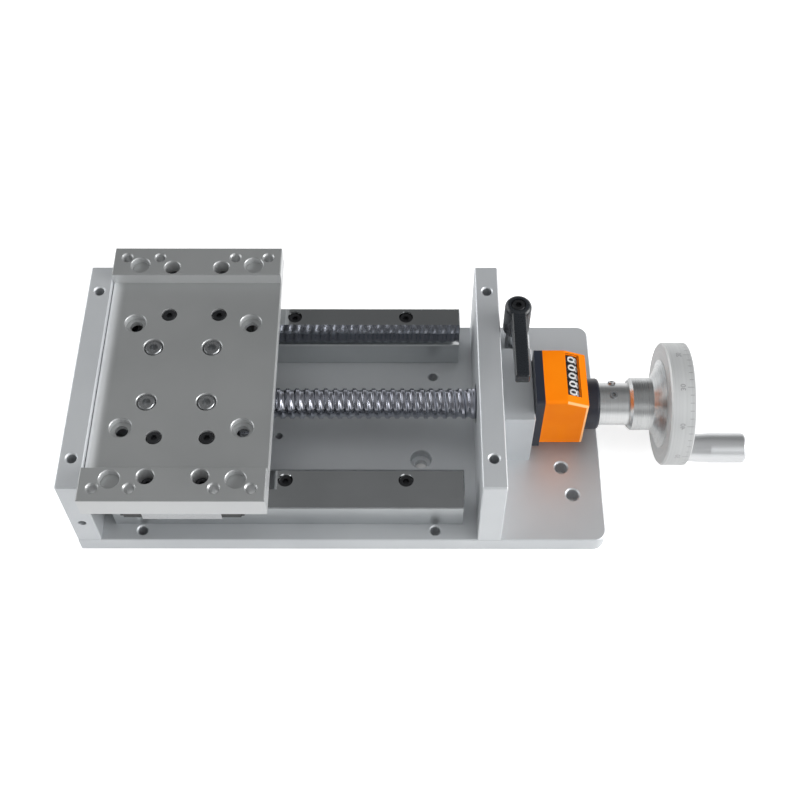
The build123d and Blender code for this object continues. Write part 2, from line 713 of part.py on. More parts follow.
# Shaft clamp: a block with a lower ear behind, split from the bore to the rear
outline = [
    (-CLAMP_FRONT, base_top),
    (CLAMP_REAR + EAR_DEPTH, base_top),
    (CLAMP_REAR + EAR_DEPTH, ear_top),
    (CLAMP_REAR, ear_top),
    (CLAMP_REAR, clamp_top),
    (-CLAMP_FRONT, clamp_top),
]
clamp = Pos(right_outer, 0, 0) * extrude(
    Plane.YZ * make_face(Polyline(*outline, close=True)), CLAMP_THICK
)
clamp = chamfer(clamp.faces().filter_by(Axis.X).edges(), EDGE)
sleeve_bore = SLEEVE_DIAMETER + 2 * RUNNING
stud_low = SCREW_Z - LEVER_STUD_REACH
slot_front = sleeve_bore / 2 - CLAMP_SLOT
pin_left = clamp_right - FOOT_PIN_REACH
pin_z = SCREW_Z - FOOT_PIN_DROP
foot_bolt_z = SCREW_Z - FOOT_BOLT_DROP
cuts = [
    level(sleeve_bore, right_outer, clamp_right),
    block(
        right_outer,
        clamp_right,
        slot_front,
        CLAMP_REAR + EAR_DEPTH,
        SCREW_Z - CLAMP_SLOT / 2,
        SCREW_Z + CLAMP_SLOT / 2,
    ),
    upright(M6.thread + SCREW_PLAY, SCREW_Z, ear_top, clamp_x, LEVER_Y),
    upright(M6.thread + 2 * RUNNING, stud_low - TAP_SPARE, SCREW_Z, clamp_x, LEVER_Y),
    level(FOOT_PIN_DIAMETER + 2 * SLIP, pin_left, clamp_right, 0, pin_z),
]
foot_bolt_reach = M3.thread * BOLT_REACH
for side in (-1, 1):
    low = clamp_right - foot_bolt_reach - TAP_SPARE
    cuts.append(level(M3.thread + 2 * SLIP, low, clamp_right, side * FOOT_BOLT_Y, foot_bolt_z))
for x, y in clamp_bolts:
    cuts.append(upright(M5.thread + 2 * SLIP, base_top, base_top + clamp_bolt_reach, x, y))
save("clamp_block", cut(clamp, cuts))

# Clamp lever: a steel insert with its stud, and a handle that lifts off the insert's neck
collar_top = ear_top + LEVER_COLLAR_HEIGHT
neck_top = collar_top + LEVER_NECK_HEIGHT
web_low = neck_top + LOOSE
web_top = web_low + LEVER_WEB
hub_top = collar_top + LEVER_HUB_HEIGHT
head_seat = web_top + LEVER_SPRING_HEIGHT
lever_tap = M4.thread / 2 + SLIP
insert = turned_upright(
    [
        (0, stud_low),
        (M6.thread / 2 - EDGE, stud_low),
        (M6.thread / 2, stud_low + EDGE),
        (M6.thread / 2, ear_top),
        (LEVER_COLLAR / 2 - EDGE, ear_top),
        (LEVER_COLLAR / 2, ear_top + EDGE),
        (LEVER_COLLAR / 2, collar_top),
        (LEVER_NECK / 2, collar_top),
        (LEVER_NECK / 2, neck_top),
        (lever_tap, neck_top),
        (lever_tap, neck_top - LEVER_SCREW_REACH - TAP_SPARE),
        (0, neck_top - LEVER_SCREW_REACH - TAP_SPARE),
    ],
    clamp_x,
    LEVER_Y,
)
save("lever_insert", insert)

hub = turned_upright(
    [
        (0, collar_top),
        (LEVER_HUB / 2 - EDGE, collar_top),
        (LEVER_HUB / 2, collar_top + EDGE),
        (LEVER_HUB / 2, hub_top),
        (0, hub_top),
    ],
    clamp_x,
    LEVER_Y,
)
hub = fillet(hub.faces().sort_by(Axis.Z)[-1].edges(), LEVER_DOME)
arm_top = hub_top - EDGE
tip_y = LEVER_Y - LEVER_LENGTH
arm_side = (
    Line((LEVER_Y, arm_top - LEVER_ROOT_HEIGHT), (LEVER_Y, arm_top))
    + Line((LEVER_Y, arm_top), (tip_y, hub_top))
    + Line((tip_y, hub_top), (tip_y, hub_top - LEVER_TIP_HEIGHT))
    + ThreePointArc(
        (tip_y, hub_top - LEVER_TIP_HEIGHT),
        ((LEVER_Y + tip_y) / 2, arm_top - (LEVER_ROOT_HEIGHT + LEVER_TIP_HEIGHT) / 2 + EDGE),
        (LEVER_Y, arm_top - LEVER_ROOT_HEIGHT),
    )
)
arm = extrude(Plane.YZ * make_face(arm_side), LEVER_ARM_WIDTH)
arm = Pos(clamp_x - LEVER_ARM_WIDTH / 2, 0, 0) * arm
arm = fillet(arm.edges().filter_by(lambda edge: edge.center().Y < LEVER_Y - EDGE), LEVER_ARM_WIDTH / 6)
spring_space = M4.head + 2 * LOOSE
cuts = [
    upright(LEVER_NECK + 2 * RUNNING, collar_top, web_low, clamp_x, LEVER_Y),
    upright(M4.thread + 2 * LOOSE, web_low, web_top, clamp_x, LEVER_Y),
    upright(spring_space, web_top, hub_top, clamp_x, LEVER_Y),
]
save("lever_handle", cut(hub + arm, cuts))
lever_screw = socket_screw(M4, head_seat - neck_top + LEVER_SCREW_REACH)
save("lever_screw", Pos(clamp_x, LEVER_Y, head_seat) * lever_screw)

coil_height = LEVER_SPRING_HEIGHT - LEVER_SPRING_WIRE
coil_radius = M4.head / 2 - LEVER_SPRING_WIRE
coil = Helix(coil_height / LEVER_SPRING_TURNS, coil_height, coil_radius)
wire_end = Plane(coil @ 0, z_dir=coil % 0) * Circle(LEVER_SPRING_WIRE / 2)
spring = sweep(wire_end, path=coil, is_frenet=True)
save("lever_spring", Pos(clamp_x, LEVER_Y, web_top + LEVER_SPRING_WIRE / 2) * spring)

# Position indicator: foot, housing with a sloped display, window, counter wheels and input tube
indicator_top = SCREW_Z + INDICATOR_TOP
foot_bottom = SCREW_Z - FOOT_DROP
tube_diameter = SLEEVE_DIAMETER + 2 * SLIP + 2 * INPUT_TUBE_WALL
tube_opening = tube_diameter + 2 * LOOSE
display_angle = degrees(atan2(DISPLAY_FALL, DISPLAY_LENGTH))
half = INDICATOR_WIDTH / 2
foot = block(clamp_right, foot_right, -half, half, foot_bottom, indicator_top)
along_x = foot.edges().filter_by(Axis.X).group_by(Axis.Z)
foot = fillet(along_x[-1], HOUSING_ROUND)
foot = chamfer(foot.edges().filter_by(Axis.X).group_by(Axis.Z)[0], HOUSING_CHAMFER)
cuts = [
    level(tube_opening, clamp_right, foot_right),
    level(FOOT_PIN_DIAMETER + 2 * SLIP, clamp_right, foot_right, 0, pin_z),
]
foot_bolt_seat = foot_right - M3.height - HEAD_SINK
for side in (-1, 1):
    y = side * FOOT_BOLT_Y
    cuts.append(level(M3.thread + SCREW_PLAY, clamp_right, foot_bolt_seat, y, foot_bolt_z))
    cuts.append(level(M3.sink, foot_bolt_seat, foot_right, y, foot_bolt_z))
save("indicator_foot", cut(foot, cuts))
foot_screw = facing_right * socket_screw(M3, foot_bolt_seat - clamp_right + foot_bolt_reach)
foot_screws = [Pos(foot_bolt_seat, side * FOOT_BOLT_Y, foot_bolt_z) * foot_screw for side in (-1, 1)]
save("indicator_screws", *foot_screws)
save("indicator_pin", level(FOOT_PIN_DIAMETER, pin_left, foot_right, 0, pin_z))


def housing_form(inset):
    """The housing's outer form, or the same form a wall's thickness further in."""
    right = housing_right - inset
    top = indicator_top - inset
    low = SCREW_Z - HOUSING_DROP + inset
    slope = DISPLAY_FALL / DISPLAY_LENGTH
    lean = inset * (sqrt(1 + slope * slope) - 1) / slope
    outline = [
        (foot_right, low),
        (right, low),
        (right, top - (DISPLAY_LENGTH - inset + lean) * slope),
        (housing_right - DISPLAY_LENGTH - lean, top),
        (foot_right, top),
    ]
    width = INDICATOR_WIDTH - 2 * inset
    face = Plane.XZ * make_face(Polyline(*outline, close=True))
    form = Pos(0, width / 2, 0) * extrude(face, width)
    lowest = form.edges().filter_by(Axis.X).group_by(Axis.Z)[0]
    return chamfer(lowest, HOUSING_CHAMFER - inset / 2)


form = housing_form(0.0)
side_edges = form.edges().filter_by(lambda edge: abs(abs(edge.center().Y) - half) < SLIP)
low_edges = side_edges.group_by(Axis.Z)[0]
rounded = [
    edge for edge in side_edges if edge not in low_edges and edge.center().X > foot_right + SLIP
]
form = fillet(rounded, HOUSING_ROUND)
window_along = WINDOW_MARGIN + WINDOW_WIDTH / 2
window_frame = (
    Pos(housing_right - DISPLAY_LENGTH, WINDOW_SHIFT_Y, indicator_top)
    * Rot(0, display_angle, 0)
    * Pos(window_along, 0, 0)
)
window_seat = WINDOW_THICK + WINDOW_SET_BACK
opening_width = WINDOW_WIDTH - 2 * WINDOW_LEDGE
opening_length = WINDOW_LENGTH - 2 * WINDOW_LEDGE
wheel_radius = WHEEL_DIAMETER / 2
wheel_line = window_frame * Pos(0, 0, -WHEEL_SINK - wheel_radius)
axle_x = wheel_line.position.X
axle_z = wheel_line.position.Z
axle_reach = half - HOUSING_WALL / 2
cuts = [
    housing_form(HOUSING_WALL),
    level(tube_opening, foot_right, housing_right),
    window_frame * Box(WINDOW_WIDTH, WINDOW_LENGTH, 2 * window_seat),
    window_frame * Box(opening_width, opening_length, 4 * HOUSING_WALL),
    across(WHEEL_AXLE + 2 * SLIP, -axle_reach, axle_reach, axle_x, axle_z),
]
save("indicator_housing", cut(form, cuts))
pane = Box(WINDOW_WIDTH - 2 * SLIP, WINDOW_LENGTH - 2 * SLIP, WINDOW_THICK)
save("indicator_window", window_frame * Pos(0, 0, WINDOW_THICK / 2 - window_seat) * pane)
save("counter_axle", across(WHEEL_AXLE, -axle_reach, axle_reach, axle_x, axle_z))
for number in range(WHEEL_COUNT):
    y = WINDOW_SHIFT_Y + (number - (WHEEL_COUNT - 1) / 2) * WHEEL_PITCH
    low = y - WHEEL_THICK / 2
    high = y + WHEEL_THICK / 2
    number_wheel = across(WHEEL_DIAMETER, low, high, axle_x, axle_z)
    number_wheel = number_wheel - across(WHEEL_AXLE + 2 * RUNNING, low, high, axle_x, axle_z)
    save(f"counter_wheel_{number + 1}", number_wheel)

# Input tube of the indicator with its black collar, clamped on the sleeve
collar_left = housing_right + 2 * LOOSE
collar_right = collar_left + COLLAR_LENGTH
tube_left = clamp_right + 2 * LOOSE
collar = level(COLLAR_DIAMETER, collar_left, collar_right)
collar = fillet(collar.faces().sort_by(Axis.X)[-1].edges(), COLLAR_ROUND)
tube = collar + level(tube_diameter, tube_left, collar_right - COLLAR_ROUND)
collar_grub_x = (collar_left + collar_right) / 2
collar_low = SCREW_Z - COLLAR_DIAMETER / 2
sleeve_low = SCREW_Z - SLEEVE_DIAMETER / 2
cuts = [
    level(SLEEVE_DIAMETER + 2 * SLIP, tube_left, collar_right),
    upright(M3.thread + 2 * SLIP, collar_low, SCREW_Z, collar_grub_x, 0),
]
save("indicator_collar", cut(tube, cuts))
grub = upright(M3.thread, collar_low + LOOSE, sleeve_low - SLIP, collar_grub_x, 0)
save("collar_grub_screw", grub)

# Sleeve between the clamp and the handwheel, held on the shaft by two grub screws
grub_x = sleeve_right - GRUB_FROM_END
grub_turns = (GRUB_LEAN, GRUB_LEAN - GRUB_ANGLE)
sleeve = level(SLEEVE_DIAMETER, sleeve_left, sleeve_right)
sleeve = sleeve - level(RIGHT_BORE + 2 * SLIP, sleeve_left, sleeve_right)
grubs = []
for turn in grub_turns:
    outward = Pos(grub_x, 0, SCREW_Z) * Rot(turn, 0, 0)
    sleeve = sleeve - outward * upright(GRUB_DIAMETER + 2 * SLIP, 0, SLEEVE_DIAMETER, 0, 0)
    grub = upright(GRUB_DIAMETER, RIGHT_BORE / 2 + SLIP, SLEEVE_DIAMETER / 2 + 3 * LOOSE, 0, 0)
    key_low = SLEEVE_DIAMETER / 2 - GRUB_DIAMETER / 4
    key = Pos(0, 0, key_low) * extrude(
        RegularPolygon(GRUB_DIAMETER / 4, 6, major_radius=False), GRUB_DIAMETER
    )
    grubs.append(outward * (grub - key))
save("drive_sleeve", sleeve)
save("sleeve_grub_screws", *grubs)

# Handwheel: hub, shallow bell-shaped web and rim in one turned piece
hub_radius = HUB_DIAMETER / 2
wheel_bore = RIGHT_BORE / 2 + SLIP
bell_middle = (
    (hub_right + bell_right) / 2 + BELL_CURVE,
    (hub_radius + BELL_RADIUS) / 2 - BELL_CURVE,
)
bell_line = ThreePointArc((hub_right, hub_radius), bell_middle, (bell_right, BELL_RADIUS))
rim_inner = WHEEL_RADIUS - RIM_CHAMFER
wheel_line_one = Polyline(
    (recess_left, wheel_bore),
    (wheel_left, wheel_bore),
    (wheel_left, hub_radius - HUB_CHAMFER),
    (wheel_left + HUB_CHAMFER, hub_radius),
    (hub_right, hub_radius),
)
wheel_line_two = Polyline(
    (bell_right, BELL_RADIUS),
    (rim_left, BELL_RADIUS),
    (rim_left, rim_inner),
    (rim_left + RIM_CHAMFER, WHEEL_RADIUS),
    (rim_right - EDGE, WHEEL_RADIUS),
    (rim_right, WHEEL_RADIUS - EDGE),
    (rim_right, CENTRE_RECESS),
    (recess_left, CENTRE_RECESS - EDGE),
    (recess_left, wheel_bore),
)
wheel = revolve(make_face(wheel_line_one + bell_line + wheel_line_two), Axis.X)
wheel = Pos(0, 0, SCREW_Z) * wheel
crank_y = CRANK_RADIUS * cos(radians(CRANK_ANGLE))
crank_z = SCREW_Z + CRANK_RADIUS * sin(radians(CRANK_ANGLE))
axle_left = rim_right - GRIP_AXLE_REACH
wheel = wheel - level(GRIP_AXLE + 2 * SLIP, axle_left - EDGE, rim_right, crank_y, crank_z)
save("handwheel", wheel)

washer_right = recess_left + WASHER_THICK
washer_ring = level(WASHER_DIAMETER, recess_left, washer_right)
save("wheel_washer", washer_ring - level(M5.thread + SCREW_PLAY, recess_left, washer_right))
end_screw = facing_right * socket_screw(M5, washer_right - shaft_end + end_screw_reach)
save("wheel_screw", Pos(washer_right, 0, SCREW_Z) * end_screw)

# Crank grip, turning freely on a shouldered axle screwed into the wheel
grip_left = rim_right + GRIP_GAP
grip_right = grip_left + GRIP_LENGTH
grip_step = grip_left + GRIP_NECK_LENGTH
axle_head = M6.height
head_left = grip_right - axle_head
grip_bore = GRIP_AXLE / 2 + RUNNING
head_radius = M6.head / 2
grip = turned(
    [
        (grip_left, grip_bore),
        (grip_left, GRIP_NECK / 2),
        (grip_step, GRIP_DIAMETER / 2),
        (grip_right, GRIP_DIAMETER / 2),
        (grip_right, head_radius + LOOSE),
        (head_left - LOOSE, head_radius + LOOSE),
        (head_left - LOOSE, grip_bore),
    ],
    crank_y,
    crank_z,
)
outer_edge = grip.edges().filter_by(GeomType.CIRCLE).group_by(Axis.X)[-1].sort_by(SortBy.RADIUS)[-1]
save("crank_grip", fillet(outer_edge, GRIP_ROUND))
axle_rod = level(GRIP_AXLE, axle_left, head_left, crank_y, crank_z)
axle_cap = level(2 * head_radius, head_left, grip_right - EDGE, crank_y, crank_z)
slot = Pos(grip_right, crank_y, crank_z) * Box(2 * GRIP_AXLE_SLOT, 2 * head_radius, GRIP_AXLE_SLOT)
save("grip_axle", axle_rod + axle_cap - slot)
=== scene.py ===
from math import cos, radians, sin, sqrt, tau

import bmesh
import bpy
from mathutils import Matrix, Vector


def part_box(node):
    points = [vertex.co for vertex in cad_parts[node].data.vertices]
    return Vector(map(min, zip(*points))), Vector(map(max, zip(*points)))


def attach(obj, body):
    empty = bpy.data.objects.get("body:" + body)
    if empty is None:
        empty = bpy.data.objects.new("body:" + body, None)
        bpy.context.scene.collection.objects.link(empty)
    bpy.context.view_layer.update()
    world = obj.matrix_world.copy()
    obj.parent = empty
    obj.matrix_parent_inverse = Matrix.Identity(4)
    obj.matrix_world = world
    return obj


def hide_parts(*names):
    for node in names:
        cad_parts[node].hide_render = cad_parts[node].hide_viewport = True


# Looks of a hand-driven positioning table. Lengths are in metres, in the model's own frame:
# X along the screw towards the handwheel, Y to the rear, Z up, origin under the base plate.

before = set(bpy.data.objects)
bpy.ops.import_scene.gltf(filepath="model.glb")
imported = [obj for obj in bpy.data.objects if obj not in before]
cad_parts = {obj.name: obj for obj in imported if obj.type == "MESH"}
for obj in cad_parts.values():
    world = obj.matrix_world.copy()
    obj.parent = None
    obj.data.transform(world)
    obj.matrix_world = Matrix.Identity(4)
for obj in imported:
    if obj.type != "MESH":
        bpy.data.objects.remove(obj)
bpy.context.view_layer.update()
scene = bpy.context.scene

# Camera, fitted to the photograph
CAMERA_PLACE = (0.03148, -0.35805, 0.58622)
CAMERA_YAW = radians(-0.34)
CAMERA_PITCH = radians(56.88)
CAMERA_ROLL = radians(-0.23)
CAMERA_FOCAL = 1256.21
CAMERA_REACH = (0.01, 20)
IMAGE_WIDTH = 800
SENSOR_WIDTH = 36.0

# Shaft, its journals and steps, and its thread
SHAFT_Z = 0.034
JOURNAL_LEFT_RADIUS = 0.005
JOURNAL_LEFT_EDGE = 0.0004
JOURNAL_RIGHT_RADIUS = 0.006
JOURNAL_RIGHT_EDGE = 0.0005
SHOULDER_LEFT_RADIUS = 0.0067
SHOULDER_RIGHT_RADIUS = 0.0077
SHOULDER_LENGTH = 0.001
STEP_LENGTH = 1e-6
THREAD_LEAD = 0.005
THREAD_START = -0.1195
THREAD_END = 0.0675
GROOVE_DEPTH = 0.00105
GROOVE_SHARE = 0.62
THREAD_STEPS = 48
THREAD_SLICE = 0.00025

# Characters before they are scaled, and the counter's digits
GLYPH_BOLD = 0.020
GLYPH_STEPS = 8
GLYPH_LEAST_WIDTH = 0.3
COUNTER_WHEELS = 5
DIGITS = 10
DIGIT_HEIGHT = 0.0042
DIGIT_WIDTH = 0.0039
DIGIT_PROUD = 0.00006

# Graduations on the handwheel's rim, with a long one and a number at every fifth
RIM_MARKS = 50
RIM_MARK_INSET = 0.0012
RIM_MARK_WIDTH = 0.00035
RIM_MARK_LENGTH = 0.002
RIM_MARK_PROUD = 0.00003
RIM_LONG_MARK_EVERY = 5
RIM_LONG_MARK_LENGTH = 0.0032
RIM_NUMBER_STEP = 10
RIM_NUMBER_INSET = 0.0055
RIM_NUMBER_HEIGHT = 0.0026
RIM_NUMBER_WIDTH = 0.0034
RIM_NARROW_NUMBER_WIDTH = 0.0022
RIM_NARROW_NUMBERS = 2

# Noise: the part of its range that a finish follows, and how finely it is built up
NOISE_LOW = 0.3
NOISE_HIGH = 0.7
NOISE_DETAIL = 3.0
RELIEF_HEIGHT = 0.0001

# Turned metal: fineness of its rings, their relief, and how wide its tone varies against them
RING_SCALE = 9000.0
RING_DETAIL = 2.0
RING_BUMP = 0.1
RING_HEIGHT = 0.00005
TONE_SHARE = 0.15
WHEEL_TONE_SHARE = 0.08

# Handwheel: radii between which it turns from shiny to matt, and how much that adds and takes away
WHEEL_MATT = (0.0225, 0.0235)
WHEEL_MATT_ROUGHNESS = 0.2
WHEEL_MATT_METALLIC_LOSS = 0.5

# Ground flanks of the rails: which slopes count as flank, and how far each rail's normals lift
FLANK_SLOPES = (-0.2, 0.9)
FRONT_FLANK_LIFT = 0.9
REAR_FLANK_LIFT = 0.47

# Table: its metal, the painted highlight that makes its sides and hole walls paler, and the left edge
# of its recess, rolled in its normals and paler with a painted highlight band
TABLE_METALLIC = 0.65
PAINTED_HIGHLIGHT_METAL = (0.97, 0.98, 0.99)
PAINTED_HIGHLIGHT_METALLIC_LOSS = 0.6
TABLE_SIDE_HIGHLIGHT_SHARE = 0.38
EDGE_TILT = 0.4
EDGE_REACH = 0.0075
UPWARD = 0.5
STRIP_MARGIN = 0.0005

# Housing: painted highlight in pale orange on its rounded edges, and where on them it starts and is
# full
PAINTED_HIGHLIGHT_ORANGE = (1.0, 0.50, 0.20)
HOUSING_HIGHLIGHT_EDGE = (0.07, 0.14)

# Window's pane
PANE_COLOUR = (0.95, 0.97, 0.97, 1)
PANE_IOR = 1.15
PANE_WEAR = 400
PANE_ROUGHNESS = (0.02, 0.08)

# Small rounded edges
EDGE_SEGMENTS = 2
EDGE_ANGLE = radians(38)

# Floor: its size and place, its glow, and the dark rectangle of painted shadow under the base
FLOOR_SIZE = 6
FLOOR_DROP = 0.0003
FLOOR_COLOUR = 0.7
FLOOR_GLOW = 0.66
FLOOR_GLOW_IN_METAL = 0.36
FLOOR_SHADE_INSET = (0.012, 0.003)

# Sky: its colour, its level by the sine of the height, and soft lights: direction, edge, core, strength
SKY_COLOUR = (0.98, 0.99, 1.0, 1)
SKY = ((0.0, 0.95), (0.12, 0.7), (0.35, 0.24), (0.6, 0.16), (0.8, 0.16), (1.0, 0.36))
SOFT_LIGHTS = (
    ((0.55, -0.6, 0.55), 0.88, 0.97, 1.3),
    ((-0.85, 0.3, 0.25), 0.80, 0.95, 2.2),
    ((0.95, -0.15, 0.3), 0.80, 0.97, 1.0),
)
LAMP_AIM = (0, 0, 0.03)


def new_material(name):
    """Empty node material with its principled shader."""
    material = bpy.data.materials.new(name)
    material.use_nodes = True
    tree = material.node_tree
    shader = tree.nodes["Principled BSDF"]
    return material, tree, shader


def add(tree, kind, **values):
    """One node, with its inputs set by name."""
    node = tree.nodes.new(kind)
    for key, value in values.items():
        node.inputs[key.replace("_", " ")].default_value = value
    return node


def combined(tree, operation, first, second):
    """Math node on two sources, each an output or a number."""
    node = tree.nodes.new("ShaderNodeMath")
    node.operation = operation
    for socket, source in zip(node.inputs, (first, second)):
        if isinstance(source, float):
            socket.default_value = source
        else:
            tree.links.new(source, socket)
    return node.outputs[0]


def noise(tree, vector, scale, detail):
    """Noise over a vector."""
    node = add(tree, "ShaderNodeTexNoise", Scale=scale, Detail=detail)
    tree.links.new(vector, node.inputs["Vector"])
    return node.outputs["Fac"]


def stretched_noise(tree, scale, stretch=(1, 1, 1)):
    """Noise over object coordinates, stretched by axis."""
    place = tree.nodes.new("ShaderNodeTexCoord")
    mapping = tree.nodes.new("ShaderNodeMapping")
    mapping.inputs["Scale"].default_value = stretch
    tree.links.new(place.outputs["Object"], mapping.inputs["Vector"])
    return noise(tree, mapping.outputs["Vector"], scale, NOISE_DETAIL)


def ranged(tree, source, low, high, start=NOISE_LOW, end=NOISE_HIGH):
    """A 0 to 1 source brought between two numbers."""
    node = tree.nodes.new("ShaderNodeMapRange")
    node.inputs["From Min"].default_value = start
    node.inputs["From Max"].default_value = end
    node.inputs["To Min"].default_value = low
    node.inputs["To Max"].default_value = high
    tree.links.new(source, node.inputs["Value"])
    return node.outputs["Result"]


def tinted(tree, source, dark, light):
    """A 0 to 1 source turned into a blend of two colours."""
    ramp = tree.nodes.new("ShaderNodeValToRGB")
    ramp.color_ramp.elements[0].position = NOISE_LOW
    ramp.color_ramp.elements[0].color = (*dark, 1)
    ramp.color_ramp.elements[1].position = NOISE_HIGH
    ramp.color_ramp.elements[1].color = (*light, 1)
    tree.links.new(source, ramp.inputs["Fac"])
    return ramp.outputs["Color"]


def bumped(tree, shader, source, strength, distance=RELIEF_HEIGHT, normal=None):
    """Relief from a 0 to 1 source, over the surface's own normal or a given one."""
    bump = add(tree, "ShaderNodeBump", Strength=strength, Distance=distance)
    tree.links.new(source, bump.inputs["Height"])
    if normal:
        tree.links.new(normal, bump.inputs["Normal"])
    tree.links.new(bump.outputs["Normal"], shader.inputs["Normal"])


def square(tree, source):
    """A source times itself."""
    return combined(tree, "MULTIPLY", source, source)


def split(tree, vector):
    """Outputs X, Y and Z of a vector."""
    axes = tree.nodes.new("ShaderNodeSeparateXYZ")
    tree.links.new(vector, axes.inputs["Vector"])
    return axes.outputs["X"], axes.outputs["Y"], axes.outputs["Z"]


def unit_vector(tree, x, y, z):
    """Normalised vector from three outputs."""
    joined = tree.nodes.new("ShaderNodeCombineXYZ")
    for socket, source in zip(joined.inputs, (x, y, z)):
        tree.links.new(source, socket)
    unit = tree.nodes.new("ShaderNodeVectorMath")
    unit.operation = "NORMALIZE"
    tree.links.new(joined.outputs["Vector"], unit.inputs[0])
    return unit.outputs["Vector"]


def surface_normal(tree):
    """Outputs X, Y and Z of the surface's normal."""
    surface = tree.nodes.new("ShaderNodeNewGeometry")
    return split(tree, surface.outputs["Normal"])


def surface_place(tree):
    """Outputs X, Y and Z of the place on the surface."""
    place = tree.nodes.new("ShaderNodeTexCoord")
    return split(tree, place.outputs["Object"])


def ground_flanks(tree, lift):
    """Normal of a ground guide rail, whose flanks curve and so mirror what stands beside them."""
    x, y, z = surface_normal(tree)
    flank = combined(tree, "LESS_THAN", z, FLANK_SLOPES[1])
    flank = combined(tree, "MULTIPLY", flank, combined(tree, "GREATER_THAN", z, FLANK_SLOPES[0]))
    wanted = combined(tree, "MULTIPLY", combined(tree, "ABSOLUTE", y, 0.0), lift)
    change = combined(tree, "MULTIPLY", flank, combined(tree, "SUBTRACT", wanted, z))
    return unit_vector(tree, x, y, combined(tree, "ADD", z, change))


def edge_share(tree, up):
    """1 at the left edge of the table's recess, falling to 0 over the reach of its rolled edge: the
    share of normal tilt there and, squared, of the painted highlight band.
    """
    place_x, _, height = surface_place(tree)
    low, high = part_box("table_plate")
    share = ranged(tree, place_x, 1.0, 0.0, low.x, low.x + EDGE_REACH)
    recess = combined(tree, "LESS_THAN", height, high.z - STRIP_MARGIN)
    recess = combined(tree, "MULTIPLY", recess, combined(tree, "GREATER_THAN", up, UPWARD))
    return combined(tree, "MULTIPLY", recess, share)


def rolled_edge(tree):
    """Normal of the table, whose recess rolls over towards its left edge."""
    x, y, z = surface_normal(tree)
    tilt = combined(tree, "MULTIPLY", edge_share(tree, z), EDGE_TILT)
    return unit_vector(tree, combined(tree, "SUBTRACT", x, tilt), y, z)


def finish_material(
    name,
    dark,
    light,
    metallic,
    rough,
    grain,
    stretch=(1, 1, 1),
    bump=0.1,
    cloud=18.0,
    specular=0.5,
    form=None,
):
    """Cloudy colour, grainy sheen and fine relief, over the normal that form() gives."""
    material, tree, shader = new_material(name)
    shader.inputs["Metallic"].default_value = metallic
    shader.inputs["Specular IOR Level"].default_value = specular
    clouds = stretched_noise(tree, cloud)
    fine = stretched_noise(tree, grain, stretch)
    tree.links.new(tinted(tree, clouds, dark, light), shader.inputs["Base Color"])
    tree.links.new(ranged(tree, fine, *rough), shader.inputs["Roughness"])
    bumped(tree, shader, fine, bump, normal=form(tree) if form else None)
    return material


def turned_material(name, dark, light, rough, tone_share=TONE_SHARE):
    """Lathe-turned metal: fine rings about the shaft's line."""
    material, tree, shader = new_material(name)
    shader.inputs["Metallic"].default_value = 1.0
    place = tree.nodes.new("ShaderNodeTexCoord")
    shift = tree.nodes.new("ShaderNodeMapping")
    shift.inputs["Location"].default_value = (0, 0, -SHAFT_Z)
    tree.links.new(place.outputs["Object"], shift.inputs["Vector"])
    x, y, z = split(tree, shift.outputs["Vector"])
    flat = tree.nodes.new("ShaderNodeCombineXYZ")
    tree.links.new(y, flat.inputs["Y"])
    tree.links.new(z, flat.inputs["Z"])
    radius = tree.nodes.new("ShaderNodeVectorMath")
    radius.operation = "LENGTH"
    tree.links.new(flat.outputs["Vector"], radius.inputs[0])
    ring_place = tree.nodes.new("ShaderNodeCombineXYZ")
    tree.links.new(x, ring_place.inputs["X"])
    tree.links.new(radius.outputs["Value"], ring_place.inputs["Y"])
    fine = noise(tree, ring_place.outputs["Vector"], RING_SCALE, RING_DETAIL)
    wide = noise(tree, ring_place.outputs["Vector"], RING_SCALE * tone_share, RING_DETAIL)
    tree.links.new(tinted(tree, wide, dark, light), shader.inputs["Base Color"])
    tree.links.new(ranged(tree, fine, *rough), shader.inputs["Roughness"])
    bumped(tree, shader, fine, RING_BUMP, RING_HEIGHT)
    return material


def source_of(shader, socket):
    """Output that a shader's socket is linked to."""
    return shader.inputs[socket].links[0].from_socket


def wheel_material():
    """Turned metal of the handwheel: shiny at the hub and matt at the rim."""
    material = turned_material(
        "turned_wheel",
        dark=(0.53, 0.54, 0.54),
        light=(0.61, 0.62, 0.62),
        rough=(0.24, 0.32),
        tone_share=WHEEL_TONE_SHARE,
    )
    tree = material.node_tree
    shader = tree.nodes["Principled BSDF"]
    _, y, z = surface_place(tree)
    z = combined(tree, "SUBTRACT", z, SHAFT_Z)
    radius = combined(tree, "SQRT", combined(tree, "ADD", square(tree, y), square(tree, z)), 0.0)
    matt = ranged(tree, radius, 0.0, 1.0, *WHEEL_MATT)
    fine = source_of(shader, "Roughness")
    rough = combined(tree, "ADD", fine, combined(tree, "MULTIPLY", matt, WHEEL_MATT_ROUGHNESS))
    tree.links.new(rough, shader.inputs["Roughness"])
    loss = combined(tree, "MULTIPLY", matt, WHEEL_MATT_METALLIC_LOSS)
    tree.links.new(combined(tree, "SUBTRACT", 1.0, loss), shader.inputs["Metallic"])
    return material


def rail_material(name, lift):
    """Ground steel of a guide rail."""
    return finish_material(
        name,
        dark=(0.46, 0.475, 0.48),
        light=(0.55, 0.565, 0.575),
        metallic=1.0,
        rough=(0.06, 0.10),
        grain=3000,
        stretch=(0.03, 1, 1),
        bump=0.02,
        form=lambda tree: ground_flanks(tree, lift),
    )


def blended(tree, share, first, second):
    """Colour between an output and a colour."""
    blend = tree.nodes.new("ShaderNodeMix")
    blend.data_type = "RGBA"
    tree.links.new(share, blend.inputs["Factor"])
    tree.links.new(first, blend.inputs["A"])
    blend.inputs["B"].default_value = (*second, 1)
    return blend.outputs["Result"]


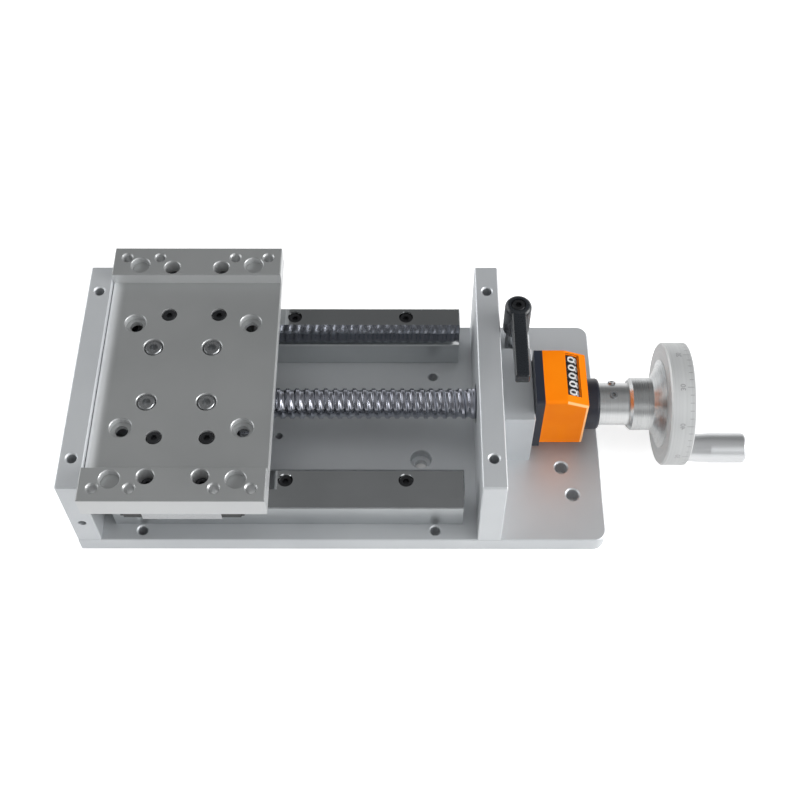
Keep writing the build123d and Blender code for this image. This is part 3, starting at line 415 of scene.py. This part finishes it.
def table_material():
    """Ground metal of the table, with a painted highlight that makes it pale on its sides, in its holes
    and along its recess's left edge.
    """
    material = finish_material(
        "ground_table",
        dark=(0.385, 0.395, 0.395),
        light=(0.435, 0.445, 0.445),
        metallic=TABLE_METALLIC,
        rough=(0.31, 0.37),
        grain=2600,
        stretch=(0.3, 1, 1),
        bump=0.012,
        form=rolled_edge,
    )
    tree = material.node_tree
    shader = tree.nodes["Principled BSDF"]
    _, _, up = surface_normal(tree)
    # Painted highlight: side faces and hole walls blend towards pale, less metallic metal
    side = combined(tree, "MULTIPLY", combined(tree, "LESS_THAN", up, UPWARD), TABLE_SIDE_HIGHLIGHT_SHARE)
    # Painted highlight band along the recess's left edge, joined with the sides' painted highlight
    share = combined(tree, "MAXIMUM", square(tree, edge_share(tree, up)), side)
    body = source_of(shader, "Base Color")
    tree.links.new(blended(tree, share, body, PAINTED_HIGHLIGHT_METAL), shader.inputs["Base Color"])
    loss = combined(tree, "MULTIPLY", share, PAINTED_HIGHLIGHT_METALLIC_LOSS)
    tree.links.new(combined(tree, "SUBTRACT", TABLE_METALLIC, loss), shader.inputs["Metallic"])
    return material


def housing_material():
    """Orange plastic, with a painted highlight in pale orange along its rounded upright edges at the
    front right and the rear left.
    """
    material = finish_material(
        "orange_housing",
        dark=(0.93, 0.21, 0.002),
        light=(0.97, 0.24, 0.003),
        metallic=0.0,
        rough=(0.36, 0.46),
        grain=1800,
        bump=0.12,
        cloud=60,
        specular=0.1,
    )
    tree = material.node_tree
    shader = tree.nodes["Principled BSDF"]
    body = source_of(shader, "Base Color")
    # Painted highlight: pale orange where the normal faces front right or rear left
    x, y, _ = surface_normal(tree)
    corner = combined(tree, "MULTIPLY", combined(tree, "MULTIPLY", x, y), -1.0)
    edge = ranged(tree, corner, 0.0, 1.0, *HOUSING_HIGHLIGHT_EDGE)
    tree.links.new(blended(tree, edge, body, PAINTED_HIGHLIGHT_ORANGE), shader.inputs["Base Color"])
    return material


# Finishes
satin = finish_material(
    "satin_plate",
    dark=(0.60, 0.62, 0.64),
    light=(0.67, 0.69, 0.705),
    metallic=0.65,
    rough=(0.46, 0.56),
    grain=2600,
    bump=0.08,
)
table_metal = table_material()
bar_metal = finish_material(
    "satin_bar",
    dark=(0.52, 0.54, 0.55),
    light=(0.60, 0.62, 0.63),
    metallic=0.9,
    rough=(0.30, 0.40),
    grain=2400,
    stretch=(0.1, 1, 1),
    bump=0.06,
)
front_rail_metal = rail_material("ground_rail_front", FRONT_FLANK_LIFT)
rear_rail_metal = rail_material("ground_rail_rear", REAR_FLANK_LIFT)
block_metal = finish_material(
    "ground_block",
    dark=(0.40, 0.41, 0.42),
    light=(0.48, 0.49, 0.50),
    metallic=1.0,
    rough=(0.2, 0.3),
    grain=2000,
    stretch=(0.1, 1, 1),
    bump=0.1,
)
thread_metal = turned_material(
    "thread_steel",
    dark=(0.40, 0.41, 0.47),
    light=(0.52, 0.53, 0.58),
    rough=(0.12, 0.20),
)
shaft_metal = turned_material(
    "turned_steel",
    dark=(0.50, 0.51, 0.52),
    light=(0.60, 0.61, 0.62),
    rough=(0.2, 0.3),
)
sleeve_metal = turned_material(
    "turned_sleeve",
    dark=(0.66, 0.67, 0.67),
    light=(0.74, 0.75, 0.75),
    rough=(0.26, 0.36),
)
wheel_metal = wheel_material()
bright_bolt = finish_material(
    "bright_bolt",
    dark=(0.42, 0.43, 0.44),
    light=(0.58, 0.59, 0.60),
    metallic=1.0,
    rough=(0.22, 0.34),
    grain=3000,
    bump=0.15,
)
black_bolt = finish_material(
    "black_bolt",
    dark=(0.018, 0.019, 0.021),
    light=(0.036, 0.037, 0.04),
    metallic=0.5,
    rough=(0.26, 0.36),
    grain=3000,
    bump=0.15,
)
chrome = finish_material(
    "polished_grip",
    dark=(0.66, 0.67, 0.68),
    light=(0.74, 0.75, 0.76),
    metallic=0.9,
    rough=(0.32, 0.38),
    grain=3000,
    bump=0.02,
)
cap_plastic = finish_material(
    "cap_plastic",
    dark=(0.016, 0.018, 0.018),
    light=(0.03, 0.032, 0.032),
    metallic=0.0,
    rough=(0.42, 0.55),
    grain=2600,
    bump=0.2,
)
rubber = finish_material(
    "wiper_rubber",
    dark=(0.012, 0.012, 0.012),
    light=(0.022, 0.022, 0.022),
    metallic=0.0,
    rough=(0.6, 0.75),
    grain=2600,
    bump=0.2,
)
lever_coat = finish_material(
    "lever_coat",
    dark=(0.010, 0.012, 0.015),
    light=(0.020, 0.023, 0.028),
    metallic=0.0,
    rough=(0.24, 0.34),
    grain=1600,
    bump=0.3,
)
foot_plastic = finish_material(
    "foot_plastic",
    dark=(0.012, 0.015, 0.026),
    light=(0.022, 0.027, 0.04),
    metallic=0.0,
    rough=(0.3, 0.4),
    grain=1800,
    bump=0.2,
)
orange = housing_material()
drum_plastic = finish_material(
    "drum_plastic",
    dark=(0.010, 0.010, 0.016),
    light=(0.022, 0.022, 0.032),
    metallic=0.0,
    rough=(0.4, 0.5),
    grain=2600,
    bump=0.15,
)
digit_paint = finish_material(
    "digit_paint",
    dark=(0.80, 0.80, 0.80),
    light=(0.90, 0.90, 0.90),
    metallic=0.0,
    rough=(0.45, 0.6),
    grain=2600,
    bump=0.1,
)
mark_paint = finish_material(
    "mark_ink",
    dark=(0.34, 0.34, 0.35),
    light=(0.44, 0.44, 0.45),
    metallic=0.6,
    rough=(0.4, 0.5),
    grain=2600,
    bump=0.1,
)


def glass_material():
    """Clear pane with faint wear."""
    material, tree, shader = new_material("clear_pane")
    shader.inputs["Base Color"].default_value = PANE_COLOUR
    shader.inputs["Transmission Weight"].default_value = 1.0
    shader.inputs["IOR"].default_value = PANE_IOR
    wear = stretched_noise(tree, PANE_WEAR)
    tree.links.new(ranged(tree, wear, *PANE_ROUGHNESS), shader.inputs["Roughness"])
    return material


pane = glass_material()

# Finish of each node
LOOKS = {
    "base_plate": satin,
    "end_plate_left": satin,
    "end_plate_right": satin,
    "table_plate": table_metal,
    "nut_bracket": satin,
    "clamp_block": satin,
    "rail_riser_front": bar_metal,
    "rail_riser_rear": bar_metal,
    "guide_rail_front": front_rail_metal,
    "guide_rail_rear": rear_rail_metal,
    "rail_screws": black_bolt,
    "riser_screws": black_bolt,
    "end_plate_screws": black_bolt,
    "clamp_block_screws": black_bolt,
    "block_screws": black_bolt,
    "bracket_screws": bright_bolt,
    "nut_screws": bright_bolt,
    "guide_block_front": block_metal,
    "guide_block_rear": block_metal,
    "block_end_caps_front": cap_plastic,
    "block_end_caps_rear": cap_plastic,
    "block_wipers_front": rubber,
    "block_wipers_rear": rubber,
    "ball_nut": shaft_metal,
    "left_bearing_inner_ring": shaft_metal,
    "left_bearing_outer_ring": shaft_metal,
    "right_bearing_inner_ring": shaft_metal,
    "right_bearing_outer_ring": shaft_metal,
    "bearing_retainer": shaft_metal,
    "lock_nut": black_bolt,
    "lever_insert": bright_bolt,
    "lever_handle": lever_coat,
    "lever_screw": black_bolt,
    "lever_spring": bright_bolt,
    "indicator_foot": foot_plastic,
    "indicator_screws": black_bolt,
    "indicator_pin": bright_bolt,
    "indicator_housing": orange,
    "indicator_window": pane,
    "counter_axle": bright_bolt,
    "indicator_collar": foot_plastic,
    "collar_grub_screw": black_bolt,
    "drive_sleeve": sleeve_metal,
    "sleeve_grub_screws": bright_bolt,
    "handwheel": wheel_metal,
    "wheel_washer": bright_bolt,
    "wheel_screw": black_bolt,
    "crank_grip": chrome,
    "grip_axle": bright_bolt,
    "counter_wheel_1": drum_plastic,
    "counter_wheel_2": drum_plastic,
    "counter_wheel_3": drum_plastic,
    "counter_wheel_4": drum_plastic,
    "counter_wheel_5": drum_plastic,
}
for name, material in LOOKS.items():
    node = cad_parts[name]
    node.data.materials.clear()
    node.data.materials.append(material)


# Widths of the small rounded edges that catch the light
EDGES = {
    "base_plate": 0.00018,
    "end_plate_left": 0.00018,
    "end_plate_right": 0.00018,
    "table_plate": 0.0002,
    "clamp_block": 0.00025,
    "rail_riser_front": 0.00015,
    "rail_riser_rear": 0.00015,
    "indicator_foot": 0.0003,
    "lever_handle": 0.0003,
}
for name, width in EDGES.items():
    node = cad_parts[name]
    bevel = node.modifiers.new("edge", "BEVEL")
    bevel.width = width
    bevel.segments = EDGE_SEGMENTS
    bevel.limit_method = "ANGLE"
    bevel.angle_limit = EDGE_ANGLE
    bevel.use_clamp_overlap = True
    bevel.harden_normals = True


def place_mesh(name, bm, material, body):
    """Finished mesh as a piece that rides on a body."""
    mesh = bpy.data.meshes.new(name)
    bm.normal_update()
    bm.to_mesh(mesh)
    bm.free()
    mesh.materials.append(material)
    piece = bpy.data.objects.new(name, mesh)
    scene.collection.objects.link(piece)
    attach(piece, body)
    return piece


def shaft_radius(x, corners):
    """Radius of the plain shaft at x, from its corner points."""
    for (x_a, r_a), (x_b, r_b) in zip(corners, corners[1:]):
        if x_a <= x <= x_b:
            return r_a + (r_b - r_a) * (x - x_a) / (x_b - x_a)
    return corners[-1][1]


def groove(x, turn):
    """Depth of the ball groove at a place along the thread."""
    fade = min(1.0, (x - THREAD_START) / THREAD_LEAD * 2, (THREAD_END - x) / THREAD_LEAD * 2)
    if fade <= 0:
        return 0.0
    phase = (x - THREAD_LEAD * turn / tau) / THREAD_LEAD % 1.0
    across = (phase - 0.5) * 2 / GROOVE_SHARE
    if abs(across) >= 1:
        return 0.0
    return GROOVE_DEPTH * fade * sqrt(1 - across * across)


def threaded_shaft():
    """The whole ball screw: its journals and steps with a helical ball groove between them."""
    low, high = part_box("ball_screw")
    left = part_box("end_plate_left")[1].x
    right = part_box("right_bearing_inner_ring")[0].x
    thread_radius = (high.z - low.z) / 2
    corners = [
        (low.x, JOURNAL_LEFT_RADIUS - JOURNAL_LEFT_EDGE),
        (low.x + JOURNAL_LEFT_EDGE, JOURNAL_LEFT_RADIUS),
        (left - STEP_LENGTH, JOURNAL_LEFT_RADIUS),
        (left, SHOULDER_LEFT_RADIUS),
        (left + SHOULDER_LENGTH, SHOULDER_LEFT_RADIUS),
        (left + 2 * SHOULDER_LENGTH, thread_radius),
        (right - 2 * SHOULDER_LENGTH, thread_radius),
        (right - SHOULDER_LENGTH, SHOULDER_RIGHT_RADIUS),
        (right, SHOULDER_RIGHT_RADIUS),
        (right + STEP_LENGTH, JOURNAL_RIGHT_RADIUS),
        (high.x - JOURNAL_RIGHT_EDGE, JOURNAL_RIGHT_RADIUS),
        (high.x, JOURNAL_RIGHT_RADIUS - JOURNAL_RIGHT_EDGE),
    ]
    slices = [x for x, _ in corners]
    count = int((THREAD_END - THREAD_START) / THREAD_SLICE)
    slices += [THREAD_START + (THREAD_END - THREAD_START) * n / count for n in range(count + 1)]
    slices = sorted(set(slices))
    bm = bmesh.new()
    rings = []
    for x in slices:
        ring = []
        plain = shaft_radius(x, corners)
        for n in range(THREAD_STEPS):
            turn = tau * n / THREAD_STEPS
            r = plain - groove(x, turn)
            ring.append(bm.verts.new((x, r * cos(turn), SHAFT_Z + r * sin(turn))))
        rings.append(ring)
    for a, b in zip(rings, rings[1:]):
        for n in range(THREAD_STEPS):
            m = (n + 1) % THREAD_STEPS
            face = bm.faces.new((a[n], b[n], b[m], a[m]))
            face.smooth = True
    bm.faces.new(rings[0])
    bm.faces.new(rings[-1][::-1])
    bmesh.ops.recalc_face_normals(bm, faces=bm.faces)
    piece = place_mesh("ball_screw_shaft", bm, thread_metal, "screw")
    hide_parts("ball_screw")


threaded_shaft()


def glyph(text, width, height):
    """Flat outline of a character as (points, faces), centred and scaled to a size."""
    curve = bpy.data.curves.new("glyph", "FONT")
    curve.body = text
    curve.resolution_u = GLYPH_STEPS
    curve.offset = GLYPH_BOLD
    holder = bpy.data.objects.new("glyph", curve)
    scene.collection.objects.link(holder)
    bpy.context.view_layer.update()
    mesh = bpy.data.meshes.new_from_object(holder.evaluated_get(bpy.context.evaluated_depsgraph_get()))
    points = [vertex.co.copy() for vertex in mesh.vertices]
    faces = [tuple(face.vertices) for face in mesh.polygons]
    bpy.data.objects.remove(holder)
    bpy.data.curves.remove(curve)
    bpy.data.meshes.remove(mesh)
    low_x = min(point.x for point in points)
    high_x = max(point.x for point in points)
    low_y = min(point.y for point in points)
    high_y = max(point.y for point in points)
    scale_x = width / max(high_x - low_x, GLYPH_LEAST_WIDTH)
    scale_y = height / (high_y - low_y)
    flat = [
        ((point.x - (low_x + high_x) / 2) * scale_x, (point.y - (low_y + high_y) / 2) * scale_y)
        for point in points
    ]
    return flat, faces


def lay_glyph(bm, flat, faces, place, thick):
    """A character with some thickness, bent on to a surface that place() describes."""
    top = [bm.verts.new(place(u, v, thick)) for u, v in flat]
    base = [bm.verts.new(place(u, v, -thick)) for u, v in flat]
    edges = {}
    for face in faces:
        bm.faces.new([top[n] for n in face])
        bm.faces.new([base[n] for n in reversed(face)])
        for a, b in zip(face, face[1:] + face[:1]):
            if (b, a) in edges:
                del edges[(b, a)]
            else:
                edges[(a, b)] = True
    for a, b in edges:
        bm.faces.new((top[a], base[a], base[b], top[b]))


# Digits on the counter's wheels, with every 0 under the window
window_low, window_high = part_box("indicator_window")
drum_low, drum_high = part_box("counter_wheel_1")
drum_x = (drum_low.x + drum_high.x) / 2
drum_z = (drum_low.z + drum_high.z) / 2
drum_radius = (drum_high.z - drum_low.z) / 2
window_x = (window_low.x + window_high.x) / 2
window_z = (window_low.z + window_high.z) / 2
window_tilt = Vector((window_x - drum_x, window_z - drum_z)).normalized()


def on_drum(centre_y, lean):
    """Places a point of a digit on a counter wheel, turned back by an angle."""

    def place(u, v, proud):
        turn = lean + v / drum_radius
        out_x = window_tilt.x * cos(turn) - window_tilt.y * sin(turn)
        out_z = window_tilt.y * cos(turn) + window_tilt.x * sin(turn)
        r = drum_radius + proud
        return (drum_x + r * out_x, centre_y + u, drum_z + r * out_z)

    return place


for wheel in range(1, COUNTER_WHEELS + 1):
    low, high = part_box(f"counter_wheel_{wheel}")
    bm = bmesh.new()
    for number in range(DIGITS):
        flat, faces = glyph(str(number), DIGIT_WIDTH, DIGIT_HEIGHT)
        lay_glyph(bm, flat, faces, on_drum((low.y + high.y) / 2, number * tau / DIGITS), DIGIT_PROUD)
    place_mesh(f"digits_{wheel}", bm, digit_paint, f"digit_{wheel}")

# Graduations and numbers round the handwheel's rim
wheel_low, wheel_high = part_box("handwheel")
rim_radius = (wheel_high.z - wheel_low.z) / 2


def on_rim(centre_x, turn):
    """Places a point of a rim mark; u runs round the rim and v along the shaft."""

    def place(u, v, proud):
        angle = turn - u / rim_radius
        r = rim_radius + proud
        return (centre_x + v, r * cos(angle), SHAFT_Z + r * sin(angle))

    return place


bm = bmesh.new()
start = wheel_high.x - RIM_MARK_INSET
half = RIM_MARK_WIDTH / 2
for mark in range(RIM_MARKS):
    turn = tau * mark / RIM_MARKS
    order, past = divmod(mark, RIM_LONG_MARK_EVERY)
    length = RIM_MARK_LENGTH if past else RIM_LONG_MARK_LENGTH
    outline = [(-half, -length), (half, -length), (half, 0), (-half, 0)]
    lay_glyph(bm, outline, [(0, 1, 2, 3)], on_rim(start, turn), RIM_MARK_PROUD)
    if past == 0:
        width = RIM_NARROW_NUMBER_WIDTH if order < RIM_NARROW_NUMBERS else RIM_NUMBER_WIDTH
        flat, faces = glyph(str(order * RIM_NUMBER_STEP), width, RIM_NUMBER_HEIGHT)
        lay_glyph(bm, flat, faces, on_rim(start - RIM_NUMBER_INSET, turn), RIM_MARK_PROUD)
bmesh.ops.recalc_face_normals(bm, faces=bm.faces)
place_mesh("rim_graduations", bm, mark_paint, "screw")

# Floor: pale, glows to the camera and less to metal, with a painted shadow under the base where it
# doesn't glow
bpy.ops.mesh.primitive_plane_add(size=FLOOR_SIZE, location=(0, 0, -FLOOR_DROP))
floor = bpy.context.object
floor.name = "floor"
material, tree, shader = new_material("pale_floor")
tree.nodes.remove(shader)
output = tree.nodes["Material Output"]
diffuse = tree.nodes.new("ShaderNodeBsdfDiffuse")
diffuse.inputs["Color"].default_value = (FLOOR_COLOUR, FLOOR_COLOUR, FLOOR_COLOUR, 1)
glow = tree.nodes.new("ShaderNodeEmission")
path = tree.nodes.new("ShaderNodeLightPath")

seen = combined(tree, "MAXIMUM", path.outputs["Is Camera Ray"], path.outputs["Is Transmission Ray"])
seen = combined(tree, "MULTIPLY", seen, FLOOR_GLOW)
mirrored = combined(tree, "MULTIPLY", path.outputs["Is Glossy Ray"], FLOOR_GLOW_IN_METAL)
seen = combined(tree, "MAXIMUM", seen, mirrored)
# Painted shadow: no glow inside the base's footprint, less an inset
floor_x, floor_y, _ = surface_place(tree)
base_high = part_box("base_plate")[1]
wide = combined(tree, "ABSOLUTE", floor_x, 0.0)
deep = combined(tree, "ABSOLUTE", floor_y, 0.0)
outside = combined(
    tree,
    "MAXIMUM",
    combined(tree, "GREATER_THAN", wide, base_high.x - FLOOR_SHADE_INSET[0]),
    combined(tree, "GREATER_THAN", deep, base_high.y - FLOOR_SHADE_INSET[1]),
)
seen = combined(tree, "MULTIPLY", seen, outside)
tree.links.new(seen, glow.inputs["Strength"])
both = tree.nodes.new("ShaderNodeAddShader")
tree.links.new(diffuse.outputs[0], both.inputs[0])
tree.links.new(glow.outputs[0], both.inputs[1])
tree.links.new(both.outputs[0], output.inputs["Surface"])
floor.data.materials.append(material)

# World: pale horizon, darker sky, and soft lights in front, on the left and low on the right
world = bpy.data.worlds.new("studio")
scene.world = world
world.use_nodes = True
tree = world.node_tree
background = tree.nodes["Background"]
background.inputs["Color"].default_value = SKY_COLOUR
direction = tree.nodes.new("ShaderNodeTexCoord")
_, _, height = split(tree, direction.outputs["Generated"])
ramp = tree.nodes.new("ShaderNodeValToRGB")
while len(ramp.color_ramp.elements) < len(SKY):
    ramp.color_ramp.elements.new(0.5)
for element, (position, tone) in zip(ramp.color_ramp.elements, SKY):
    element.position = position
    element.color = (tone, tone, tone, 1)
tree.links.new(height, ramp.inputs["Fac"])
level = ramp.outputs["Color"]
for way, start, end, strength in SOFT_LIGHTS:
    aim = tree.nodes.new("ShaderNodeVectorMath")
    aim.operation = "DOT_PRODUCT"
    aim.inputs[1].default_value = Vector(way).normalized()
    tree.links.new(direction.outputs["Generated"], aim.inputs[0])
    patch = tree.nodes.new("ShaderNodeMapRange")
    patch.interpolation_type = "SMOOTHSTEP"
    patch.inputs["From Min"].default_value = start
    patch.inputs["From Max"].default_value = end
    patch.inputs["To Max"].default_value = strength
    tree.links.new(aim.outputs["Value"], patch.inputs["Value"])
    level = combined(tree, "ADD", level, patch.outputs["Result"])
tree.links.new(level, background.inputs["Strength"])


def area_lamp(name, place, size, power, mirrored=True):
    """Soft rectangular lamp aimed at the object, which shows in metal unless mirrored is off."""
    data = bpy.data.lights.new(name, "AREA")
    data.shape = "RECTANGLE"
    data.size = size[0]
    data.size_y = size[1]
    data.energy = power
    lamp = bpy.data.objects.new(name, data)
    lamp.location = place
    lamp.visible_glossy = mirrored
    lamp.rotation_mode = "QUATERNION"
    lamp.rotation_quaternion = (Vector(LAMP_AIM) - Vector(place)).to_track_quat("-Z", "Y")
    scene.collection.objects.link(lamp)


area_lamp("right_softbox", place=(1.1, -0.1, 0.42), size=(0.7, 0.5), power=9)
area_lamp("top_softbox", place=(-0.1, -0.2, 1.3), size=(1.2, 1.2), power=6, mirrored=False)

# Camera: its axes from yaw, pitch and roll
ahead = cos(CAMERA_PITCH)
forward = Vector((sin(CAMERA_YAW) * ahead, cos(CAMERA_YAW) * ahead, -sin(CAMERA_PITCH)))
right = Vector((cos(CAMERA_YAW), -sin(CAMERA_YAW), 0))
up = right.cross(forward)
side = right * cos(CAMERA_ROLL) + up * sin(CAMERA_ROLL)
head = up * cos(CAMERA_ROLL) - right * sin(CAMERA_ROLL)
camera_data = bpy.data.cameras.new("camera")
camera_data.sensor_width = SENSOR_WIDTH
camera_data.lens = CAMERA_FOCAL / IMAGE_WIDTH * SENSOR_WIDTH
camera_data.clip_start = CAMERA_REACH[0]
camera_data.clip_end = CAMERA_REACH[1]
camera = bpy.data.objects.new("camera", camera_data)
camera_turn = Matrix((side, head, -forward)).transposed().to_4x4()
camera.matrix_world = Matrix.Translation(CAMERA_PLACE) @ camera_turn
scene.collection.objects.link(camera)
scene.camera = camera
scene.view_settings.view_transform = "Standard"
